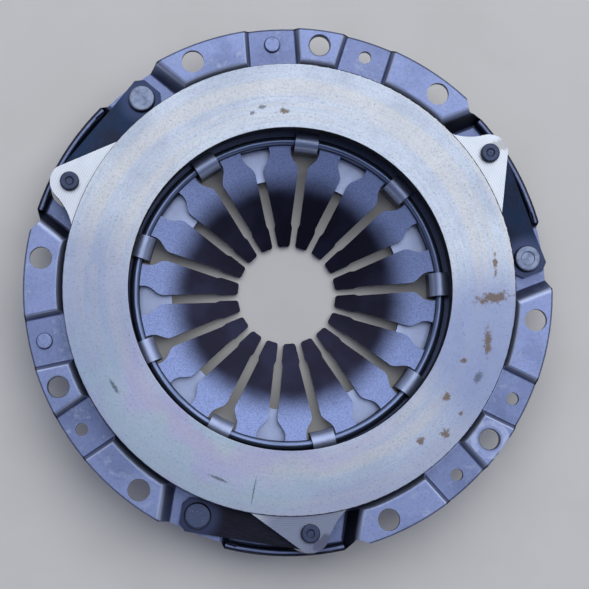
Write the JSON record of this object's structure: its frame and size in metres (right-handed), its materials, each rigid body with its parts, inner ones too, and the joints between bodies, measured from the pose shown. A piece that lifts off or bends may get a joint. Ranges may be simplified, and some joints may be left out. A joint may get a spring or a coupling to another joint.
{
  "type": "clutch pressure plate",
  "caption": "Diaphragm-spring clutch cover assembly: stamped bolt-on cover, machined pressure plate on sprung drive straps, slotted diaphragm spring on pivot rings.",
  "frame": {"origin": "centre of the cover's mounting plane, on the clutch axis", "axes": "+Z along the clutch axis towards the flywheel; +X through a pair of bolt holes; +Y through a dowel hole"},
  "size_m": [0.2126, 0.2131, 0.0328],
  "materials": {
    "cover_steel": "satin dark phosphate coat",
    "machined_iron": "fine-turned",
    "spring_steel": "shot-peened, dark oiled",
    "wire_steel": "drawn",
    "strap_blue": "blued",
    "strap_dark": "dark grey",
    "rivet_steel": "dull zinc grey"
  },
  "bodies": {
    "cover": {"cover": "cover_steel", "diaphragm_spring": "spring_steel", "upper_pivot_ring": "wire_steel", "lower_pivot_ring": "wire_steel", "cover_rivet_1": "rivet_steel", "cover_rivet_2": "rivet_steel", "cover_rivet_3": "rivet_steel", "balance_rivet_1": "rivet_steel", "balance_rivet_2": "rivet_steel", "strap_1_leaf_1": "strap_blue", "strap_1_leaf_2": "strap_blue", "strap_1_leaf_3": "strap_blue", "strap_2_leaf_1": "strap_blue", "strap_2_leaf_2": "strap_blue", "strap_2_leaf_3": "strap_blue", "strap_3_leaf_1": "strap_dark", "strap_3_leaf_2": "strap_dark", "strap_3_leaf_3": "strap_dark"},
    "plate": {"pressure_plate": "machined_iron", "lug_rivet_1": "rivet_steel", "lug_rivet_2": "rivet_steel", "lug_rivet_3": "rivet_steel"}
  },
  "joints": [
    {"name": "plate_lift", "type": "slide", "parent": "cover", "child": "plate", "axis": [0, 0, -1], "range_m": [0, 0.0045], "stiffness_N_per_m": 20000, "deforming": ["diaphragm_spring", "strap_1_leaf_1", "strap_1_leaf_2", "strap_1_leaf_3", "strap_2_leaf_1", "strap_2_leaf_2", "strap_2_leaf_3", "strap_3_leaf_1", "strap_3_leaf_2", "strap_3_leaf_3"]}
  ]
}
